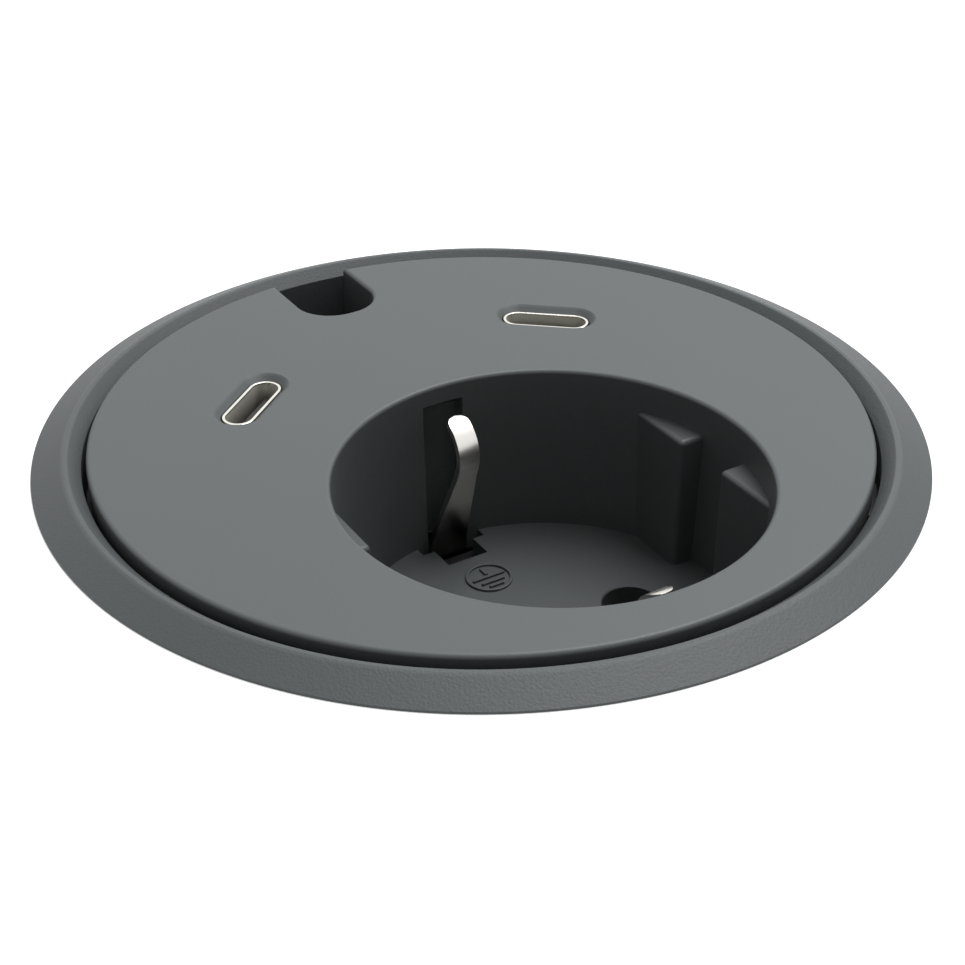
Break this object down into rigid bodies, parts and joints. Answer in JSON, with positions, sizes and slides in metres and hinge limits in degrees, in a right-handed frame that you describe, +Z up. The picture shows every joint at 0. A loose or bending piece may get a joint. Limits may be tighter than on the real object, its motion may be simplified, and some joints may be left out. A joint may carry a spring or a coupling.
{
  "type": "in-desk power socket",
  "caption": "Round in-desk socket unit with a bevelled ring, a recessed earthed outlet, two oval charging ports, an edge cable slot and a clamping nut below the desk.",
  "frame": {"origin": "centre of the desk hole in the plane of the desk top, on which the flange's underside rests", "axes": "+Z up out of the desk along the barrel's axis, +Y from the outlet well to the cable slot, X along the line through the two pin holes"},
  "size_m": [0.0928, 0.0928, 0.0501],
  "materials": {
    "moulding": "fine matt grain",
    "moulding_face": "fine matt grain",
    "moulding_rear": "matt",
    "moulding_nut": "matt",
    "steel": "zinc plated",
    "nickel": "bright nickel",
    "block": "matt",
    "shutter": "smooth",
    "spring_steel": "drawn wire",
    "brass": "rolled sheet",
    "screw_steel": "zinc plated",
    "tongue": "smooth",
    "board": "lacquered",
    "winding": "taped",
    "can": "drawn",
    "chip": "moulded",
    "gland": "matt"
  },
  "bodies": {
    "base": {"bezel_sleeve": "moulding", "face_insert": "moulding_face", "rear_housing": "moulding_rear", "earth_bow": "nickel", "contact_block": "block", "shutter_spring": "spring_steel", "live_contact": "brass", "neutral_contact": "brass", "terminal_screws": "screw_steel", "usb_shell_left": "nickel", "usb_tongue_left": "tongue", "usb_shell_right": "nickel", "usb_tongue_right": "tongue", "charger_board": "board", "charger_transformer": "winding", "charger_capacitors": "can", "charger_chips": "chip", "housing_screws": "screw_steel", "cord_gland": "gland"},
    "washer": {"clamp_washer": "steel"},
    "nut": {"ring_nut": "moulding_nut"},
    "shutter": {"safety_shutter": "shutter"}
  },
  "joints": [
    {"name": "washer_travel", "type": "slide", "parent": "base", "child": "washer", "axis": [0, 0, 1], "range_m": [-0.0111, 0.0151]},
    {"name": "nut_turn", "type": "hinge", "parent": "washer", "child": "nut", "pos_m": [0, 0, -0.0315], "axis": [0, 0, 1], "range_deg": [-990, 1350]},
    {"name": "shutter_slide", "type": "slide", "parent": "base", "child": "shutter", "axis": [0, 1, 0], "range_m": [0, 0.006], "stiffness_N_per_m": 60, "springref_m": -0.004, "deforming": ["shutter_spring"]}
  ],
  "couplings": [
    {"joint": "washer_travel", "follows": "nut_turn", "m_per_rad": 0.00063662}
  ]
}
